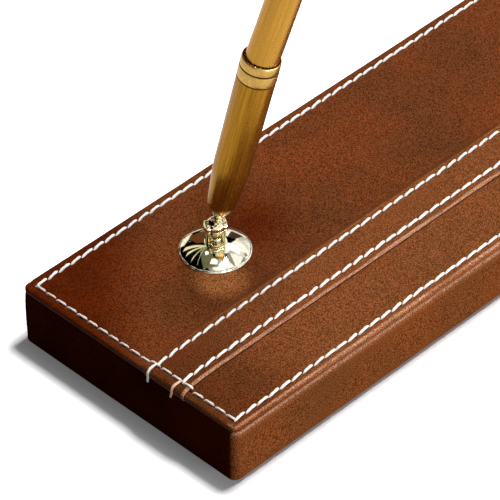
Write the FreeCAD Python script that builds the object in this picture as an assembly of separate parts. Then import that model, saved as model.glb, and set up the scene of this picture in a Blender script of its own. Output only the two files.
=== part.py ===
import FreeCAD, Part
import math
import os

# Desk pen stand: a leather-covered board with a gilt swivel pen holder near its left end, and the ball pen
# that stands in the holder.  Millimetres, +Z up, origin on the resting face below the middle of the board.
# Left is -X, the side with the lapped seam is the front, -Y.

# Board and its covering
base_length = 254.0
base_width = 101.6
base_height = 25.0
corner_radius = 3.0
felt_thickness = 0.8
felt_inset = 3.5
panel_thickness = 2.2
panel_upper_round = 1.0
panel_lower_round = 0.5
band_thickness = 1.4
band_shoulder_round = 0.6
turned_under_width = 10.0
turned_under_thickness = 1.0
band_seam_gap = 0.3

# Lapped seam: the rear panel's folded edge lies on the front panel; shares are of the base's width
lap_from_front_share = 0.2441
lap_depth_share = 0.1732
lap_thickness = 1.2
lap_fade = 4.0
lap_fade_bulge = 0.15
lap_end_inset = 0.7
lap_end_round = 0.48
skive_run = 1.0

# Place and attitude of the holder
swivel_from_left = 59.1
swivel_from_back_share = 0.33465
swivel_turn = -45.5
yoke_turn = 17.0
funnel_lean = 12.1

# Domed disc under the holder
disc_diameter = 25.4
disc_rise = 4.2
disc_wall = 1.0
disc_rim_height = 0.7
disc_flat_diameter = 8.0

# Shoulder stud that pins the yoke and the disc to the board, with its hardware
thread_diameter = 2.5
thread_chamfer = 0.3
stud_shoulder_diameter = 3.2
stud_head_diameter = 4.6
stud_head_height = 1.1
stud_head_round = 0.4
stud_slot_width = 0.7
stud_slot_depth = 0.6
thread_hole_clearance = 0.2
counterbore_diameter = 14.0
counterbore_depth = 9.0
washer_diameter = 8.0
washer_thickness = 0.8
lock_washer_diameter = 4.8
lock_washer_thickness = 0.6
lock_washer_slit = 0.5
lock_washer_slant = 30.0
nut_across_flats = 5.0
nut_height = 2.0
nut_corner_share = 0.6
thread_past_nut = 1.2

# Yoke with two dished ears that grip the ball
ball_diameter = 7.0
ball_height = 10.9
ear_wall = 0.8
ear_diameter = 5.2
ear_round = 0.6
ear_hole_diameter = 2.2
arm_width = 3.6
arm_round = 0.3
web_thickness = 0.8
web_round = 0.35
wave_washer_thickness = 0.3
wave_washer_diameter = 4.4

# Ball stem
stem_neck_diameter = 2.4
stem_neck_length = 0.35
stem_cone_diameter = 7.4
stem_cone_top = 8.2
stem_spigot_diameter = 4.0
stem_nut_across_flats = 6.0
stem_nut_height = 1.8
spigot_past_nut = 0.5

# Funnel, with heights measured along its axis from the middle of the ball
heel_height = 10.5
heel_diameter = 10.1
heel_round = 5.0
waist_height = 26.0
waist_diameter = 12.9
waist_round = 60.0
funnel_wall = 0.55
ring_height = 66.3
ring_length = 8.8
ring_wall = 0.5
ring_groove_from_joint = 5.1
ring_groove_width = 0.5
ring_groove_depth = 0.2
ring_crown = 0.1
ring_crown_run = 0.6
ring_lip_round = 0.27
ring_lip_bevel = 0.1
bore_run = 6.0
tip_seat_top = 17.2
tip_seat_land = 0.8
tip_seat_dish = 0.6
nut_room_clearance = 0.2
nut_room_bevel = 0.4

# Ball pen
pen_diameter = 11.75
pen_above_mouth = 83.0
pen_mouth_offset = 0.2
barrel_below_mouth = 3.0
barrel_wall = 0.7
nose_wall = 0.9
nose_tip_diameter = 2.6
nose_bevel = 0.1
nose_bevel_height = 0.4
nose_front_height = 2.2
nose_spigot_length = 8.0
point_diameter = 2.2
point_ball_diameter = 0.8
point_length = 9.0
point_cone_height = 2.5
refill_diameter = 3.2
end_cap_length = 8.0
end_cap_spigot_length = 10.0
end_cap_socket_depth = 6.0
end_cap_groove = 0.3
end_cap_groove_width = 0.5
end_cap_crown_diameter = 9.4
end_cap_crown_rise = 1.6

# Fits
running_clearance = 0.05
moving_gap = 0.3
glue_clearance = 0.03
ball_clearance = 0.09
plug_clearance = 0.1

# Values worked out from those above
half_length = base_length / 2
half_width = base_width / 2
board_top = base_height - panel_thickness
lap_from_front = lap_from_front_share * base_width
lap_depth = lap_depth_share * base_width
swivel_from_back = swivel_from_back_share * base_width
swivel_x = -half_length + swivel_from_left
swivel_y = half_width - swivel_from_back
disc_top = base_height + disc_rise
ball_radius = ball_diameter / 2
ball_level = base_height + ball_height
pen_radius = pen_diameter / 2
bore_radius = pen_radius + pen_mouth_offset + moving_gap
ring_radius = bore_radius + ring_wall
mouth_height = ring_height + ring_length
counterbore_ceiling = felt_thickness + counterbore_depth
arc_middle = 1 - math.sqrt(0.5)


def point(x, z):
    return FreeCAD.Vector(x, 0, z)


def outline(start, *steps):
    """Closed face in the XZ plane; a step is an end point, or a point on the arc followed by its end."""
    here = point(*start)
    edges = []
    for step in steps:
        is_arc = isinstance(step[0], tuple)
        if is_arc:
            there = point(*step[1])
            edges.append(Part.Arc(here, point(*step[0]), there).toShape())
        else:
            there = point(*step)
            edges.append(Part.makeLine(here, there))
        here = there
    edges.append(Part.makeLine(here, point(*start)))
    return Part.Face(Part.Wire(edges))


def turned(face):
    """Solid of revolution of a face in the XZ plane about Z."""
    return face.revolve(FreeCAD.Vector(0, 0, 0), FreeCAD.Vector(0, 0, 1), 360)


def eased(before, corner, after, radius):
    """Steps that round a corner of an outline with a tangent arc."""
    vertex = point(*corner)
    sides = [(point(*before) - vertex).normalize(), (point(*after) - vertex).normalize()]
    half_angle = sides[0].getAngle(sides[1]) / 2
    reach = radius / math.tan(half_angle)
    first, last = [vertex + side * reach for side in sides]
    middle = vertex + (sides[0] + sides[1]).normalize() * (radius / math.sin(half_angle) - radius)
    return (first.x, first.z), ((middle.x, middle.z), (last.x, last.z))


def domed(edge_radius, edge_level, rise):
    """Step of a spherical cap from its edge to its crown on the axis; a negative rise makes a dish."""
    sphere = (edge_radius ** 2 + rise ** 2) / (2 * abs(rise))
    half = edge_radius / 2
    drop = sphere - math.sqrt(sphere ** 2 - half ** 2)
    crown = edge_level + rise
    return (half, crown - math.copysign(drop, rise)), (0, crown)


def ring(outer_diameter, inner_diameter, bottom, height):
    body = Part.makeCylinder(outer_diameter / 2, height, FreeCAD.Vector(0, 0, bottom))
    return body.cut(Part.makeCylinder(inner_diameter / 2, height, FreeCAD.Vector(0, 0, bottom)))


def hex_nut(across_flats, hole_diameter, bottom, height):
    """Hexagonal nut with its corners turned off at both faces."""
    sides = 6
    corner = across_flats / math.sqrt(3)
    corners = []
    for index in range(sides + 1):
        angle = 2 * math.pi * index / sides
        corners.append(FreeCAD.Vector(corner * math.cos(angle), corner * math.sin(angle), bottom))
    prism = Part.Face(Part.makePolygon(corners)).extrude(FreeCAD.Vector(0, 0, height))
    flat = across_flats / 2
    chamfer = (corner - flat) * nut_corner_share
    lathe = turned(outline(
        (0, bottom), (flat, bottom), (corner, bottom + chamfer),
        (corner, bottom + height - chamfer), (flat, bottom + height), (0, bottom + height)))
    hole = Part.makeCylinder(hole_diameter / 2, height, FreeCAD.Vector(0, 0, bottom))
    return prism.common(lathe).cut(hole)


def rounded_slab(length, width, radius, bottom, top):
    """Flat block centred on the origin, with its four upright edges rounded."""
    block = Part.makeBox(length, width, top - bottom, FreeCAD.Vector(-length / 2, -width / 2, bottom))
    uprights = [edge for edge in block.Edges if edge.BoundBox.ZLength > (top - bottom) / 2]
    return block.makeFillet(radius, uprights)


def edges_at(shape, level):
    """Edges that lie flat at one height, straight or round."""
    near = 0.01
    return [edge for edge in shape.Edges
            if abs(edge.BoundBox.ZMin - level) < near and abs(edge.BoundBox.ZMax - level) < near]


def across(profile, half_span):
    """Extrudes a face drawn in the XZ plane, where X stands for Y, along the length of the base."""
    turned_face = profile.copy()
    turned_face.rotate(FreeCAD.Vector(0, 0, 0), FreeCAD.Vector(0, 0, 1), 90)
    turned_face.translate(FreeCAD.Vector(-half_span, 0, 0))
    return turned_face.extrude(FreeCAD.Vector(2 * half_span, 0, 0))


def at_swivel(shape):
    """Moves a piece from the holder's own upright frame to its place on the base."""
    placed = shape.copy()
    placed.rotate(FreeCAD.Vector(0, 0, 0), FreeCAD.Vector(0, 0, 1), swivel_turn)
    placed.translate(FreeCAD.Vector(swivel_x, swivel_y, 0))
    return placed


def on_funnel(shape):
    """Leans a piece with the funnel about the middle of the ball, and puts it in its place."""
    placed = shape.copy()
    placed.rotate(FreeCAD.Vector(0, 0, 0), FreeCAD.Vector(0, 1, 0), funnel_lean)
    placed.translate(FreeCAD.Vector(0, 0, ball_level))
    return at_swivel(placed)


def core_board():
    outer = rounded_slab(
        base_length - 2 * band_thickness, base_width - 2 * band_thickness,
        corner_radius - band_thickness, felt_thickness, board_top)
    rebate_depth = turned_under_thickness
    rim = rounded_slab(base_length, base_width, corner_radius, felt_thickness, felt_thickness + rebate_depth)
    rim = rim.cut(turned_under_hollow(felt_thickness, felt_thickness + rebate_depth))
    hole_radius = thread_diameter / 2 + thread_hole_clearance
    stud_hole = Part.makeCylinder(hole_radius, base_height)
    counterbore = Part.makeCylinder(counterbore_diameter / 2, counterbore_ceiling)
    return outer.cut(rim).cut(at_swivel(stud_hole)).cut(at_swivel(counterbore))


def turned_under_hollow(bottom, top):
    """Space inside the turned-under rim, where the board reaches down to the felt."""
    inset = band_thickness + turned_under_width
    return Part.makeBox(
        base_length - 2 * inset, base_width - 2 * inset, top - bottom,
        FreeCAD.Vector(-half_length + inset, -half_width + inset, bottom))


def side_band():
    """Leather strip round the four sides, turned under the board and butted at the middle of the back."""
    body = rounded_slab(base_length, base_width, corner_radius, felt_thickness, board_top)
    body = body.makeFillet(band_shoulder_round, edges_at(body, board_top) + edges_at(body, felt_thickness))
    clear = glue_clearance
    inner = rounded_slab(
        base_length - 2 * band_thickness + 2 * clear, base_width - 2 * band_thickness + 2 * clear,
        corner_radius - band_thickness, felt_thickness + turned_under_thickness, board_top)
    hollow = turned_under_hollow(felt_thickness, felt_thickness + turned_under_thickness)
    seam = Part.makeBox(
        band_seam_gap, turned_under_width + 2 * band_thickness, board_top,
        FreeCAD.Vector(-band_seam_gap / 2, half_width - turned_under_width - band_thickness, 0))
    return body.cut(inner).cut(hollow).cut(seam)


def top_slab():
    """Whole top covering with its turned, rounded edge, before it is parted at the lap."""
    slab = rounded_slab(base_length, base_width, corner_radius, board_top, base_height)
    slab = slab.makeFillet(panel_upper_round, edges_at(slab, base_height))
    return slab.makeFillet(panel_lower_round, edges_at(slab, board_top))


def underlap_end():
    return -half_width + lap_from_front + lap_depth


def front_region():
    """Everything in front of the skived end of the front panel."""
    end = underlap_end()
    bottom = board_top - panel_thickness
    top = base_height + panel_thickness
    return across(outline(
        (-base_width, bottom), (end + 2 * skive_run, bottom), (end - skive_run, top), (-base_width, top)),
        base_length)


def lap_strip():
    """Raised part of the rear panel, from its folded nose back to where it sinks to the board."""
    nose = -half_width + lap_from_front
    nose_radius = lap_thickness / 2
    top = base_height + lap_thickness
    crest = underlap_end()
    faded = crest + lap_fade
    slope_middle = ((crest + faded) / 2, base_height + nose_radius + lap_fade_bulge)
    root = crest + skive_run + skive_run / 2
    low = base_height - panel_thickness / 2
    profile = outline(
        (nose + nose_radius, base_height), ((nose, base_height + nose_radius), (nose + nose_radius, top)),
        (crest, top), (slope_middle, (faded, base_height)), (faded, low), (root, low), (root, base_height))
    strip = across(profile, half_length - lap_end_inset)
    ends = [edge for edge in edges_at(strip, top) if edge.BoundBox.XLength < lap_depth]
    return strip.makeFillet(lap_end_round, ends)


def stud_hole_in_leather():
    hole_radius = thread_diameter / 2 + thread_hole_clearance
    return at_swivel(Part.makeCylinder(hole_radius, 2 * base_height))


def rear_panel():
    return top_slab().cut(front_region()).fuse(lap_strip()).removeSplitter().cut(stud_hole_in_leather())


def felt_pad():
    inset = 2 * felt_inset
    return rounded_slab(base_length - inset, base_width - inset, corner_radius, 0, felt_thickness)


def base_disc():
    """Stamped dome: a plain rim, a spherical crown and a small flat where the yoke turns."""
    rim = disc_diameter / 2
    flat = disc_flat_diameter / 2
    drop = disc_rise - disc_rim_height
    crown = ((rim ** 2 - flat ** 2) - drop ** 2) / (2 * drop)
    sphere = math.hypot(flat, crown + drop)
    middle = (rim + flat) / 2
    over = disc_rim_height + base_height - crown
    inner_rim = rim - disc_wall
    inner_sphere = sphere - disc_wall

    def crown_level(radius_across, sphere_radius):
        return over + math.sqrt(sphere_radius ** 2 - radius_across ** 2)

    underside = disc_top - disc_wall
    inner_flat = math.sqrt(inner_sphere ** 2 - (underside - over) ** 2)
    inner_middle = (inner_rim + inner_flat) / 2
    hole = thread_diameter / 2 + thread_hole_clearance
    return turned(outline(
        (hole, disc_top), (flat, disc_top),
        ((middle, crown_level(middle, sphere)), (rim, base_height + disc_rim_height)),
        (rim, base_height), (inner_rim, base_height), (inner_rim, crown_level(inner_rim, inner_sphere)),
        ((inner_middle, crown_level(inner_middle, inner_sphere)), (inner_flat, underside)),
        (hole, underside)))


def swivel_stud():
    """Slotted shoulder stud, from its head inside the yoke down to the thread in the counterbore."""
    shoulder_top = disc_top + web_thickness + wave_washer_thickness + 2 * running_clearance
    head_top = shoulder_top + stud_head_height
    head = stud_head_diameter / 2
    shoulder = stud_shoulder_diameter / 2
    shank = thread_diameter / 2
    end = counterbore_ceiling - washer_thickness - lock_washer_thickness - nut_height - thread_past_nut
    edge = stud_head_round
    body = turned(outline(
        (0, end), (shank - thread_chamfer, end), (shank, end + thread_chamfer), (shank, disc_top),
        (shoulder, disc_top), (shoulder, shoulder_top), (head, shoulder_top), (head, head_top - edge),
        ((head - edge * arc_middle, head_top - edge * arc_middle), (head - edge, head_top)), (0, head_top)))
    slot = Part.makeBox(
        stud_head_diameter, stud_slot_width, stud_slot_depth,
        FreeCAD.Vector(-head, -stud_slot_width / 2, head_top - stud_slot_depth))
    return at_swivel(body.cut(slot))


def flat_washer():
    bottom = counterbore_ceiling - washer_thickness
    hole = thread_diameter + 2 * thread_hole_clearance
    return at_swivel(ring(washer_diameter, hole, bottom, washer_thickness))


def lock_washer():
    """Split spring washer, with its slit cut on the slant."""
    bottom = counterbore_ceiling - washer_thickness - lock_washer_thickness
    hole = thread_diameter + 2 * thread_hole_clearance
    slit_height = 3 * lock_washer_thickness
    slit = Part.makeBox(
        lock_washer_diameter, lock_washer_slit, slit_height,
        FreeCAD.Vector(0, -lock_washer_slit / 2, -slit_height / 2))
    slit.rotate(FreeCAD.Vector(0, 0, 0), FreeCAD.Vector(1, 0, 0), lock_washer_slant)
    slit.translate(FreeCAD.Vector(0, 0, bottom + lock_washer_thickness / 2))
    return at_swivel(ring(lock_washer_diameter, hole, bottom, lock_washer_thickness).cut(slit))


def stud_nut():
    bottom = counterbore_ceiling - washer_thickness - lock_washer_thickness - nut_height
    return at_swivel(hex_nut(nut_across_flats, thread_diameter + 2 * glue_clearance, bottom, nut_height))


def yoke():
    """Round foot, two upright arms and an ear dished to the ball at the top of each arm."""
    seat = ball_radius + ball_clearance
    dish = seat + ear_wall
    ear_radius = ear_diameter / 2
    web_bottom = disc_top + running_clearance
    arm_outer = math.sqrt(dish ** 2 - ear_radius ** 2)
    arm_inner = arm_outer - ear_wall
    centre = FreeCAD.Vector(0, 0, ball_level)
    foot = Part.makeCylinder(arm_outer, web_thickness, FreeCAD.Vector(0, 0, web_bottom))
    foot = foot.makeFillet(web_round, edges_at(foot, web_bottom))
    arms = Part.makeBox(
        2 * arm_outer, arm_width, ball_level - web_bottom,
        FreeCAD.Vector(-arm_outer, -arm_width / 2, web_bottom))
    arms = arms.common(Part.makeCylinder(math.hypot(arm_inner, arm_width / 2) + arm_round, ball_level))
    between = Part.makeBox(
        2 * arm_inner, arm_width, ball_level,
        FreeCAD.Vector(-arm_inner, -arm_width / 2, web_bottom + web_thickness))
    ear = Part.makeSphere(dish).common(Part.makeCylinder(ear_radius, dish))
    ear = ear.makeFillet(ear_round, edges_at(ear, arm_outer))
    body = foot.fuse(arms.cut(between))
    for side in (-90, 90):
        placed = ear.copy()
        placed.rotate(FreeCAD.Vector(0, 0, 0), FreeCAD.Vector(0, 1, 0), side)
        placed.translate(centre)
        body = body.fuse(placed)
    holes = Part.makeCylinder(
        ear_hole_diameter / 2, 2 * dish, FreeCAD.Vector(-dish, 0, ball_level), FreeCAD.Vector(1, 0, 0))
    shoulder_hole = Part.makeCylinder(
        stud_shoulder_diameter / 2 + running_clearance, web_thickness, FreeCAD.Vector(0, 0, web_bottom))
    body = body.cut(Part.makeSphere(seat, centre)).cut(holes).cut(shoulder_hole).removeSplitter()
    body.rotate(FreeCAD.Vector(0, 0, 0), FreeCAD.Vector(0, 0, 1), yoke_turn)
    return at_swivel(body)


def wave_washer():
    bottom = disc_top + running_clearance + web_thickness
    hole = stud_shoulder_diameter + 2 * running_clearance
    return at_swivel(ring(wave_washer_diameter, hole, bottom, wave_washer_thickness))


def ball_stem():
    """Ball, neck, cone and the spigot that passes through the funnel's floor."""
    neck = stem_neck_diameter / 2
    neck_level = math.sqrt(ball_radius ** 2 - neck ** 2)
    cone = stem_cone_diameter / 2
    spigot = stem_spigot_diameter / 2
    spigot_top = stem_cone_top + funnel_wall + stem_nut_height + spigot_past_nut
    slope_start = neck_level + stem_neck_length
    body = turned(outline(
        (0, -ball_radius), ((ball_radius, 0), (neck, neck_level)), (neck, slope_start),
        (cone, stem_cone_top), (spigot, stem_cone_top), (spigot, spigot_top), (0, spigot_top)))
    return on_funnel(body)


def funnel_form(inset):
    """Solid of the funnel below its ring, drawn in by an inset: floor, rounded heel, waist and top."""
    floor = (stem_cone_diameter / 2 - inset / 2, stem_cone_top + inset)
    heel = (heel_diameter / 2 - inset, heel_height + inset / 2)
    waist = (waist_diameter / 2 - inset, waist_height)
    top = (ring_radius - ring_crown - inset, ring_height)
    return turned(outline(
        (0, stem_cone_top + inset), floor, *eased(floor, heel, waist, heel_round - inset),
        *eased(heel, waist, top, waist_round - inset), top, (0, ring_height)))


def funnel_tube():
    """Tapered tube with a rounded heel, reamed straight at its upper end, where the ring is brazed on."""
    bore = Part.makeCylinder(bore_radius, bore_run, FreeCAD.Vector(0, 0, ring_height - bore_run))
    floor_hole = Part.makeCylinder(stem_spigot_diameter / 2 + glue_clearance, heel_height)
    return on_funnel(funnel_form(0).cut(funnel_form(funnel_wall)).cut(bore).cut(floor_hole))


def mouth_ring():
    """Turned ring of two bands with eased edges, parted by a groove, with a rounded lip."""
    outer = ring_radius
    edge = ring_radius - ring_crown
    deep = edge - ring_groove_depth
    low = ring_height + glue_clearance
    groove = ring_height + ring_groove_from_joint
    half_groove = ring_groove_width / 2
    ease = half_groove + ring_crown_run
    lip = ring_lip_round
    lip_level = mouth_height - lip
    body = turned(outline(
        (bore_radius, low), (deep, low), (edge, low + half_groove), (outer, low + ease),
        (outer, groove - ease), (edge, groove - half_groove), (deep, groove), (edge, groove + half_groove),
        (outer, groove + ease), (outer, lip_level - ring_crown_run), (edge, lip_level),
        ((edge - lip * arc_middle, mouth_height - lip * arc_middle), (edge - lip, mouth_height)),
        (bore_radius + ring_lip_bevel, mouth_height), (bore_radius, mouth_height - ring_lip_bevel)))
    return on_funnel(body)


def stem_nut():
    bottom = stem_cone_top + funnel_wall
    return on_funnel(hex_nut(
        stem_nut_across_flats, stem_spigot_diameter + 2 * glue_clearance, bottom, stem_nut_height))


def inner_radius_at(height):
    """Radius of the funnel's straight inner taper at a height along its axis."""
    heel_level = heel_height + funnel_wall / 2
    share = (height - heel_level) / (waist_height - heel_level)
    return heel_diameter / 2 - funnel_wall + share * (waist_diameter - heel_diameter) / 2


def tip_seat():
    """Plastic plug over the nut, on which the pen's point comes to rest."""
    bottom = heel_height + funnel_wall / 2
    nut_room = stem_nut_across_flats / math.sqrt(3) + nut_room_clearance
    room_top = stem_cone_top + funnel_wall + stem_nut_height + spigot_past_nut + nut_room_clearance
    rim = inner_radius_at(tip_seat_top) - tip_seat_land
    between = turned(outline(
        (0, room_top), (nut_room - nut_room_bevel, room_top), (nut_room, bottom), (bore_radius, bottom),
        (bore_radius, tip_seat_top), (rim, tip_seat_top), domed(rim, tip_seat_top, -tip_seat_dish)))
    return on_funnel(between.common(funnel_form(funnel_wall + plug_clearance)))


# The pen stands deeper than the mouth and tips until its nose nears the wall opposite the lip it leans on.
pen_tip_height = tip_seat_top + moving_gap
pen_depth = mouth_height - pen_tip_height
nose_room = inner_radius_at(pen_tip_height) - nose_tip_diameter / 2 - moving_gap
pen_tip_in_funnel = math.degrees(math.atan((nose_room + pen_mouth_offset) / pen_depth))
pen_lean = funnel_lean + pen_tip_in_funnel
pen_inside = pen_depth / math.cos(math.radians(pen_tip_in_funnel))
pen_length = pen_inside + pen_above_mouth
nose_top = pen_inside - barrel_below_mouth
refill_top = pen_length - end_cap_length + glue_clearance - end_cap_spigot_length + end_cap_socket_depth


def on_pen(shape):
    """Stands a piece, built upright from the pen's point, in the funnel."""
    lean = math.radians(funnel_lean)
    tip_across = -nose_room
    tip_x = tip_across * math.cos(lean) + pen_tip_height * math.sin(lean)
    tip_z = -tip_across * math.sin(lean) + pen_tip_height * math.cos(lean)
    placed = shape.copy()
    placed.rotate(FreeCAD.Vector(0, 0, 0), FreeCAD.Vector(0, 1, 0), pen_lean)
    placed.translate(FreeCAD.Vector(tip_x, 0, tip_z + ball_level))
    return at_swivel(placed)


def pen_nose():
    """Long tapering front section, hollow behind the writing point, with a spigot that enters the barrel."""
    tip = nose_tip_diameter / 2
    bore = refill_diameter / 2 + running_clearance
    point_bore = point_diameter / 2 + running_clearance
    spigot = pen_radius - barrel_wall - glue_clearance
    spigot_bore = spigot - nose_wall
    bevel_top = nose_front_height + nose_bevel_height
    rise_per_radius = (nose_top - bevel_top) / (pen_radius - tip)
    hollow_start = bevel_top + rise_per_radius * (bore + nose_wall - tip)
    body = turned(outline(
        (point_bore, nose_front_height), (tip - nose_bevel, nose_front_height), (tip, bevel_top),
        (pen_radius, nose_top), (spigot, nose_top), (spigot, nose_top + nose_spigot_length),
        (spigot_bore, nose_top + nose_spigot_length), (spigot_bore, nose_top), (bore, hollow_start),
        (bore, point_length), (point_bore, point_length)))
    return on_pen(body)


def pen_barrel():
    inside = pen_radius - barrel_wall
    top = pen_length - end_cap_length
    return on_pen(turned(outline(
        (inside, nose_top + glue_clearance), (pen_radius, nose_top + glue_clearance), (pen_radius, top),
        (inside, top))))


def pen_end_cap():
    """Domed cap with a fine groove where it meets the barrel, and a plug that holds the refill's far end."""
    bottom = pen_length - end_cap_length + glue_clearance
    plug_bottom = bottom - end_cap_spigot_length
    plug = pen_radius - barrel_wall - glue_clearance
    groove = pen_radius - end_cap_groove
    groove_top = bottom + end_cap_groove_width
    crown_edge = end_cap_crown_diameter / 2
    crown_level = pen_length - end_cap_crown_rise
    shoulder = crown_level - end_cap_crown_rise
    shoulder_middle = (
        pen_radius - (pen_radius - crown_edge) * arc_middle, crown_level - end_cap_crown_rise * arc_middle)
    socket = refill_diameter / 2 + running_clearance
    return on_pen(turned(outline(
        (0, refill_top), (socket, refill_top), (socket, plug_bottom), (plug, plug_bottom), (plug, bottom),
        (groove, bottom), (groove, groove_top), (pen_radius, groove_top + end_cap_groove),
        (pen_radius, shoulder),
        (shoulder_middle, (crown_edge, crown_level)), domed(crown_edge, crown_level, end_cap_crown_rise))))


def refill_tube():
    bottom = point_length + glue_clearance
    length = refill_top - glue_clearance - bottom
    return on_pen(Part.makeCylinder(refill_diameter / 2, length, FreeCAD.Vector(0, 0, bottom)))


def refill_point():
    """Writing point: a ball held in a slender cone on a straight shank."""
    ball = point_ball_diameter / 2
    shank = point_diameter / 2
    return on_pen(turned(outline(
        (0, 0), ((ball * (1 - arc_middle), ball * arc_middle), (ball, ball)), (shank, point_cone_height),
        (shank, point_length), (0, point_length))))


nodes = {
    "core_board": core_board,
    "side_leather_band": side_band,
    "front_top_leather": lambda: top_slab().common(front_region()),
    "rear_top_leather": rear_panel,
    "felt_pad": felt_pad,
    "base_disc": lambda: at_swivel(base_disc()),
    "swivel_stud": swivel_stud,
    "flat_washer": flat_washer,
    "lock_washer": lock_washer,
    "stud_nut": stud_nut,
    "swivel_yoke": yoke,
    "wave_washer": wave_washer,
    "ball_stem": ball_stem,
    "stem_nut": stem_nut,
    "funnel_tube": funnel_tube,
    "mouth_ring": mouth_ring,
    "tip_seat": tip_seat,
    "pen_nose": pen_nose,
    "pen_barrel": pen_barrel,
    "pen_end_cap": pen_end_cap,
    "refill_tube": refill_tube,
    "refill_point": refill_point,
}

os.makedirs("parts", exist_ok=True)
for name, make in nodes.items():
    solid = make()
    solid.exportStep("parts/" + name + ".step")
    print(name, len(solid.Solids), solid.isValid(), round(solid.Volume, 1))
print("pen: length %.1f, tips %.2f in the funnel, leans %.2f" % (pen_length, pen_tip_in_funnel, pen_lean))
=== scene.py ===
import math
from functools import partial

import bmesh
import bpy
import numpy as np
from mathutils import Matrix, Vector, noise


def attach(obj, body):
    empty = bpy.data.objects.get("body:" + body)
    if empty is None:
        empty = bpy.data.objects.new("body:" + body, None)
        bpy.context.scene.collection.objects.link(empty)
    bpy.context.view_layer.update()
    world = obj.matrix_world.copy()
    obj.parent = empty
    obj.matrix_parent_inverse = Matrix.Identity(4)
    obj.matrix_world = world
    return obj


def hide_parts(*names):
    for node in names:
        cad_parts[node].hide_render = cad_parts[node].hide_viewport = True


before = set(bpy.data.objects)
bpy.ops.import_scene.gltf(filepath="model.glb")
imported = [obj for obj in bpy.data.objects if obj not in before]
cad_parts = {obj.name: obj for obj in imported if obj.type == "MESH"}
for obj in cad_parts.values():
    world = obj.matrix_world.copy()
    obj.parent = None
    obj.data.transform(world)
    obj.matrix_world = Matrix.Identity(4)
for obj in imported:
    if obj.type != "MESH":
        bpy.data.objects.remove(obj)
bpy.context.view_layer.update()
scene = bpy.context.scene
mm = 0.001


# Camera
# A long lens looks down on the stand's left end, 41 degrees above the table and 45.5 degrees round from
# the front, so that the long board runs out of the picture to the right.
def in_scene(name, data):
    """Object at the origin, linked to the scene."""
    made = bpy.data.objects.new(name, data)
    scene.collection.objects.link(made)
    return made


camera_turn = math.radians(-45.52)
camera_height = math.radians(41.06)
camera_at = Vector((-822.90, -741.14, 956.99)) * mm
camera_right = Vector((math.cos(camera_turn), math.sin(camera_turn), 0))
camera_back = Vector((
    math.sin(camera_turn) * math.cos(camera_height), -math.cos(camera_turn) * math.cos(camera_height),
    math.sin(camera_height)))
camera_up = camera_back.cross(camera_right)
lens = bpy.data.cameras.new("camera")
lens.lens = 298.66
lens.sensor_width = 36
lens.clip_end = 20
camera = in_scene("camera", lens)
camera.matrix_world = Matrix.Translation(camera_at) @ Matrix(
    (camera_right, camera_up, camera_back)).transposed().to_4x4()
scene.camera = camera


# Floor, room and lamps
# The stand is photographed on plain white paper.  A small soft lamp hangs over it and a long low one lights
# its front.  Cloths and cards round it are seen only by shiny surfaces, above all the polished gilt.
def feed(made, inputs):
    """Sets a node's inputs to values, or links them from sockets or from other nodes' first outputs."""
    for key, value in inputs.items():
        if isinstance(value, bpy.types.Node):
            value = value.outputs[0]
        if isinstance(value, bpy.types.NodeSocket):
            made.id_data.links.new(value, made.inputs[key])
        else:
            made.inputs[key].default_value = value


def node(tree, kind, inputs=None, **settings):
    """New node with its settings and inputs."""
    made = tree.nodes.new(kind)
    for key, value in settings.items():
        setattr(made, key, value)
    feed(made, inputs or {})
    return made


def calculate(tree, operation, *values):
    """Sum done on numbers and on what other nodes give."""
    return node(tree, "ShaderNodeMath", dict(enumerate(values)), operation=operation)


def rescaled(tree, value, source=(0.0, 1.0), to=(0.0, 1.0), **settings):
    """Value moved from its source range to another one, and held at the ends."""
    return node(tree, "ShaderNodeMapRange", {
        "Value": value, "From Min": source[0], "From Max": source[1], "To Min": to[0], "To Max": to[1]},
        **settings)


def either(tree, share, first, second):
    """First look or second, by a share."""
    return node(tree, "ShaderNodeMixShader", {0: share, 1: first, 2: second})


def emptied_tree(owner):
    """Node tree of a material or the world, with nothing in it."""
    owner.use_nodes = True
    owner.node_tree.nodes.clear()
    return owner.node_tree


def mesh_object(name, points, faces, smooth=True):
    """Object at the origin from points in millimetres, with its faces turned outwards as given."""
    mesh = bpy.data.meshes.new(name)
    mesh.from_pydata([tuple(float(c) * mm for c in p) for p in points], [], faces)
    mesh.polygons.foreach_set("use_smooth", [smooth] * len(mesh.polygons))
    mesh.update()
    return in_scene(name, mesh)


half_length, half_width = 127.0, 50.8
floor_half = 3000
# Within this reach of the board the paper glows less: a painted shade round the board, joining its real
# shadow.
painted_shade_reach = 26.0
glow_in_painted_shade, glow_away = 0.10, 0.75
white = (1, 1, 1, 1)
floor = mesh_object("floor", [
    (x * floor_half, y * floor_half, 0) for x, y in ((-1, -1), (1, -1), (1, 1), (-1, 1))],
    [(0, 1, 2, 3)], smooth=False)
paper = bpy.data.materials.new("white_paper")
tree = emptied_tree(paper)
rays = node(tree, "ShaderNodeLightPath").outputs
place = node(tree, "ShaderNodeSeparateXYZ", {0: node(tree, "ShaderNodeTexCoord").outputs["Object"]}).outputs
clear_of_board = []
for axis, reach in enumerate((half_length, half_width)):
    beyond = calculate(tree, "SUBTRACT", calculate(tree, "ABSOLUTE", place[axis]), reach * mm)
    clear_of_board.append(calculate(tree, "MAXIMUM", beyond, 0.0))
distance = calculate(tree, "ADD", *clear_of_board)
glow_with_painted_shade = rescaled(
    tree, distance, (0.0, painted_shade_reach * mm), (glow_in_painted_shade, glow_away), interpolation_type="SMOOTHSTEP")
matt = node(tree, "ShaderNodeBsdfDiffuse", {"Color": (0.90, 0.90, 0.90, 1)})
glow = node(tree, "ShaderNodeEmission", {"Color": white, "Strength": glow_with_painted_shade})
lit_paper = node(tree, "ShaderNodeAddShader", {0: matt, 1: glow})
dark_paper = node(tree, "ShaderNodeBsdfDiffuse", {"Color": (0.10, 0.10, 0.10, 1)})
mirrored = calculate(tree, "MULTIPLY", rays["Is Glossy Ray"], 0.5)
seen = calculate(tree, "MAXIMUM", rays["Is Camera Ray"], mirrored)
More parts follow.
